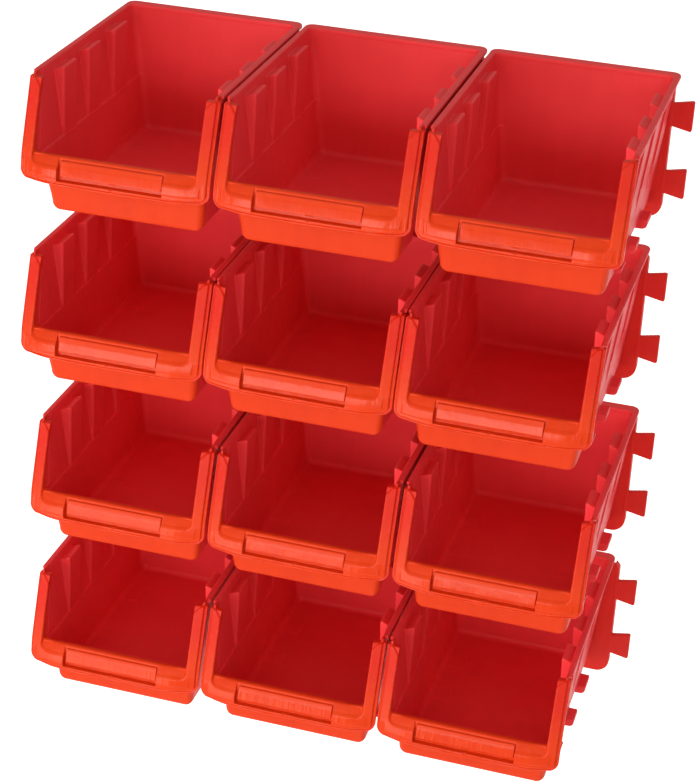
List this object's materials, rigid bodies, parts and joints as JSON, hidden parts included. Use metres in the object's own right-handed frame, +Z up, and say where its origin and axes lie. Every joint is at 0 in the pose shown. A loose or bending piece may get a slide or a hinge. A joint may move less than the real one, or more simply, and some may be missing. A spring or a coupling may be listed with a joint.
{
  "type": "hanging parts bin set",
  "caption": "Wall-hung rack of open-front red plastic parts bins, each lifting off its own hanger plate; the plates interlock sideways by dovetail tabs and screw to the wall.",
  "frame": {"origin": "back face of the middle hanger plate of the top row, on its central web, in the wall plane", "axes": "+Z up, +Y into the wall, the bins open towards -Y, +X to the right as seen from the front"},
  "size_m": [0.3342, 0.1857, 0.3882],
  "materials": {
    "bin_plastic": "satin moulded polypropylene, orange-red",
    "hanger_plastic": "satin moulded polypropylene, deeper red",
    "screw_steel": "bright zinc-plated steel"
  },
  "bodies": {
    "wall_hangers": {"hanger_plate_r1_c1": "hanger_plastic", "wall_screw_left_r1_c1": "screw_steel", "wall_screw_right_r1_c1": "screw_steel", "hanger_plate_r1_c2": "hanger_plastic", "wall_screw_left_r1_c2": "screw_steel", "wall_screw_right_r1_c2": "screw_steel", "hanger_plate_r1_c3": "hanger_plastic", "wall_screw_left_r1_c3": "screw_steel", "wall_screw_right_r1_c3": "screw_steel", "hanger_plate_r2_c1": "hanger_plastic", "wall_screw_left_r2_c1": "screw_steel", "wall_screw_right_r2_c1": "screw_steel", "hanger_plate_r2_c2": "hanger_plastic", "wall_screw_left_r2_c2": "screw_steel", "wall_screw_right_r2_c2": "screw_steel", "hanger_plate_r2_c3": "hanger_plastic", "wall_screw_left_r2_c3": "screw_steel", "wall_screw_right_r2_c3": "screw_steel", "hanger_plate_r3_c1": "hanger_plastic", "wall_screw_left_r3_c1": "screw_steel", "wall_screw_right_r3_c1": "screw_steel", "hanger_plate_r3_c2": "hanger_plastic", "wall_screw_left_r3_c2": "screw_steel", "wall_screw_right_r3_c2": "screw_steel", "hanger_plate_r3_c3": "hanger_plastic", "wall_screw_left_r3_c3": "screw_steel", "wall_screw_right_r3_c3": "screw_steel", "hanger_plate_r4_c1": "hanger_plastic", "wall_screw_left_r4_c1": "screw_steel", "wall_screw_right_r4_c1": "screw_steel", "hanger_plate_r4_c2": "hanger_plastic", "wall_screw_left_r4_c2": "screw_steel", "wall_screw_right_r4_c2": "screw_steel", "hanger_plate_r4_c3": "hanger_plastic", "wall_screw_left_r4_c3": "screw_steel", "wall_screw_right_r4_c3": "screw_steel"},
    "bin_r1_c1": {"bin_r1_c1": "bin_plastic"},
    "bin_r1_c2": {"bin_r1_c2": "bin_plastic"},
    "bin_r1_c3": {"bin_r1_c3": "bin_plastic"},
    "bin_r2_c1": {"bin_r2_c1": "bin_plastic"},
    "bin_r2_c2": {"bin_r2_c2": "bin_plastic"},
    "bin_r2_c3": {"bin_r2_c3": "bin_plastic"},
    "bin_r3_c1": {"bin_r3_c1": "bin_plastic"},
    "bin_r3_c2": {"bin_r3_c2": "bin_plastic"},
    "bin_r3_c3": {"bin_r3_c3": "bin_plastic"},
    "bin_r4_c1": {"bin_r4_c1": "bin_plastic"},
    "bin_r4_c2": {"bin_r4_c2": "bin_plastic"},
    "bin_r4_c3": {"bin_r4_c3": "bin_plastic"}
  },
  "joints": [
    {"name": "lift_r1_c1", "type": "slide", "parent": "wall_hangers", "child": "bin_r1_c1", "axis": [0, 0, 1], "range_m": [0, 0.014]},
    {"name": "lift_r1_c2", "type": "slide", "parent": "wall_hangers", "child": "bin_r1_c2", "axis": [0, 0, 1], "range_m": [0, 0.014]},
    {"name": "lift_r1_c3", "type": "slide", "parent": "wall_hangers", "child": "bin_r1_c3", "axis": [0, 0, 1], "range_m": [0, 0.014]},
    {"name": "lift_r2_c1", "type": "slide", "parent": "wall_hangers", "child": "bin_r2_c1", "axis": [0, 0, 1], "range_m": [0, 0.014]},
    {"name": "lift_r2_c2", "type": "slide", "parent": "wall_hangers", "child": "bin_r2_c2", "axis": [0, 0, 1], "range_m": [0, 0.014]},
    {"name": "lift_r2_c3", "type": "slide", "parent": "wall_hangers", "child": "bin_r2_c3", "axis": [0, 0, 1], "range_m": [0, 0.014]},
    {"name": "lift_r3_c1", "type": "slide", "parent": "wall_hangers", "child": "bin_r3_c1", "axis": [0, 0, 1], "range_m": [0, 0.014]},
    {"name": "lift_r3_c2", "type": "slide", "parent": "wall_hangers", "child": "bin_r3_c2", "axis": [0, 0, 1], "range_m": [0, 0.014]},
    {"name": "lift_r3_c3", "type": "slide", "parent": "wall_hangers", "child": "bin_r3_c3", "axis": [0, 0, 1], "range_m": [0, 0.014]},
    {"name": "lift_r4_c1", "type": "slide", "parent": "wall_hangers", "child": "bin_r4_c1", "axis": [0, 0, 1], "range_m": [0, 0.014]},
    {"name": "lift_r4_c2", "type": "slide", "parent": "wall_hangers", "child": "bin_r4_c2", "axis": [0, 0, 1], "range_m": [0, 0.014]},
    {"name": "lift_r4_c3", "type": "slide", "parent": "wall_hangers", "child": "bin_r4_c3", "axis": [0, 0, 1], "range_m": [0, 0.014]}
  ]
}
